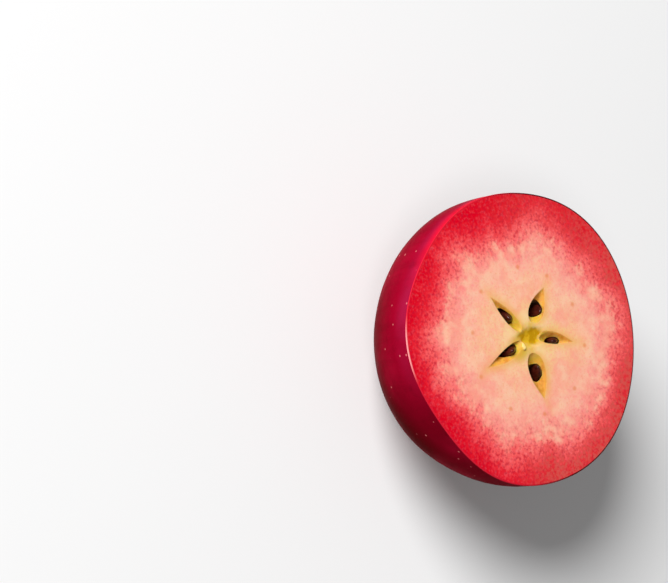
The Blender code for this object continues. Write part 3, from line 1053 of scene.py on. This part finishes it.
def pip_finish():
    finish, tree, shader = new_finish("pip_coat")
    place = object_place(tree)
    grooves = cloud(tree, stretched(tree, place, PIP_GROOVE_STRETCH), *PIP_GROOVE_CLOUD)
    tone = cloud(tree, place, *PIP_TONE_CLOUD)
    colour = mixed(tree, tone, (*PIP_BLACK_BROWN, 1.0), (*PIP_RED_BROWN, 1.0))
    colour = painted(tree, colour, product(tree, grooves, PIP_GROOVE_SHARE), PIP_GROOVE_BROWN)
    tree.links.new(colour, shader.inputs["Base Color"])
    set_surface(shader, PIP_SURFACE)
    fine_relief(tree, shader, grooves, *PIP_RELIEF)
    return finish


pip_coat = pip_finish()
for number, locule in enumerate(LOCULES, start=1):
    pip = finished_object(f"seed_{number}", pip_form(locule, 0.0, *PIP_SEGMENTS))
    pip.data.materials.append(pip_coat)
    pip.data.shade_smooth()
    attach(pip, "root")
    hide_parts(f"pip_{number}")


# The dried calyx in the basin of the underside: five withered sepals with what is left of the
# stamens between them. Each is a thin, curled and crumpled blade or thread, rooted in the skin.
SEPAL_SEGMENTS = (20, 24)
SEPAL_HALF_LENGTH = 2.9 * MM
SEPAL_HALF_WIDTH = 1.5 * MM
SEPAL_ROOT_WIDENING = 1.15
SEPAL_NARROWING = 0.75
SEPAL_HALF_THICKNESS = 0.28 * MM
SEPAL_CURL = 1.3 * MM
SEPAL_CUP = 0.5 * SEPAL_HALF_WIDTH
SEPAL_ROOT_RADIUS = 3.0 * MM
SEPAL_MIDDLE_HEIGHT = 4.4 * MM
SEPAL_LEAN = math.radians(22.0)
CRUMPLE = 0.35 * MM
CRUMPLE_CHANGE = Vector((7.0, 0.0, 0.0))
STAMEN_COUNT = 11
STAMEN_SEGMENTS = (8, 12)
STAMEN_RING_RADIUS = 1.5 * MM
STAMEN_HALF_LENGTH = 1.7 * MM
STAMEN_HALF_WIDTH = 0.22 * MM
STAMEN_BEND = 0.4 * MM
STAMEN_MIDDLE_HEIGHT = 6.2 * MM
STAMEN_LEAN = 0.25
STAMEN_SHIFT = 0.3
STAMEN_SHIFT_WAVE = 2.4

CALYX_BROWN = (0.075, 0.035, 0.018)
CALYX_TAN = (0.24, 0.135, 0.070)
CALYX_TONE_CLOUD = (500.0, 3.0)
CALYX_VEIN_BROWN = (0.035, 0.018, 0.012)
CALYX_VEIN_SHARE = 0.5
CALYX_VEIN_STRETCH = (1.0, 1.0, 0.2)
CALYX_VEIN_CLOUD = (1500.0, 3.0)
CALYX_SURFACE = {"Roughness": 0.85, "Specular IOR Level": 0.15}
CALYX_RELIEF = (0.5, 0.1 * MM)


def in_basin(height, turn, radius, lean):
    """A place round the core in the basin, with its X axis away from the core, then leaning."""
    place = Matrix.Translation(CORE + Vector((0.0, 0.0, height)))
    place = place @ Matrix.Rotation(turn, 4, "Z")
    place = place @ Matrix.Translation((radius, 0.0, 0.0))
    return place @ Matrix.Rotation(lean, 4, "Y")


def add_sepal(bm, number):
    around, along = SEPAL_SEGMENTS
    blade = bmesh.ops.create_uvsphere(bm, u_segments=around, v_segments=along, radius=1.0)["verts"]
    for vert in blade:
        tip = 0.5 * (1.0 - vert.co.z)
        vert.co.x = vert.co.x * SEPAL_HALF_THICKNESS + SEPAL_CURL * tip * tip
        vert.co.x -= SEPAL_CUP * vert.co.y * vert.co.y
        vert.co.y *= SEPAL_HALF_WIDTH * (SEPAL_ROOT_WIDENING - SEPAL_NARROWING * tip)
        vert.co.z *= SEPAL_HALF_LENGTH
        vert.co += noise.noise_vector(vert.co / MM + CRUMPLE_CHANGE * number) * CRUMPLE
    turn = math.radians(LOBE_TURN / LOBE_COUNT + 360.0 / LOBE_COUNT * (number + 0.5))
    place = in_basin(SEPAL_MIDDLE_HEIGHT, turn, SEPAL_ROOT_RADIUS, SEPAL_LEAN)
    bmesh.ops.transform(bm, verts=blade, matrix=place)


def add_stamen(bm, number):
    around, along = STAMEN_SEGMENTS
    thread = bmesh.ops.create_uvsphere(bm, u_segments=around, v_segments=along, radius=1.0)["verts"]
    for vert in thread:
        vert.co.x = vert.co.x * STAMEN_HALF_WIDTH + STAMEN_BEND * vert.co.z * vert.co.z
        vert.co.y *= STAMEN_HALF_WIDTH
        vert.co.z *= STAMEN_HALF_LENGTH
    shift = STAMEN_SHIFT * math.sin(STAMEN_SHIFT_WAVE * number)
    turn = math.tau * (number + shift) / STAMEN_COUNT
    lean = STAMEN_LEAN * math.sin(number)
    place = in_basin(STAMEN_MIDDLE_HEIGHT, turn, STAMEN_RING_RADIUS, lean)
    bmesh.ops.transform(bm, verts=thread, matrix=place)


def dried_calyx():
    bm = bmesh.new()
    for number in range(LOBE_COUNT):
        add_sepal(bm, number)
    for number in range(STAMEN_COUNT):
        add_stamen(bm, number)
    return finished_object("calyx", bm)


def calyx_finish():
    finish, tree, shader = new_finish("dried_calyx")
    place = object_place(tree)
    veins = cloud(tree, stretched(tree, place, CALYX_VEIN_STRETCH), *CALYX_VEIN_CLOUD)
    tone = cloud(tree, place, *CALYX_TONE_CLOUD)
    colour = mixed(tree, tone, (*CALYX_BROWN, 1.0), (*CALYX_TAN, 1.0))
    colour = painted(tree, colour, product(tree, veins, CALYX_VEIN_SHARE), CALYX_VEIN_BROWN)
    tree.links.new(colour, shader.inputs["Base Color"])
    set_surface(shader, CALYX_SURFACE)
    fine_relief(tree, shader, veins, *CALYX_RELIEF)
    return finish


calyx = dried_calyx()
calyx.data.materials.append(calyx_finish())
calyx.data.shade_smooth()
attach(calyx, "root")
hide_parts("flesh_and_skin")
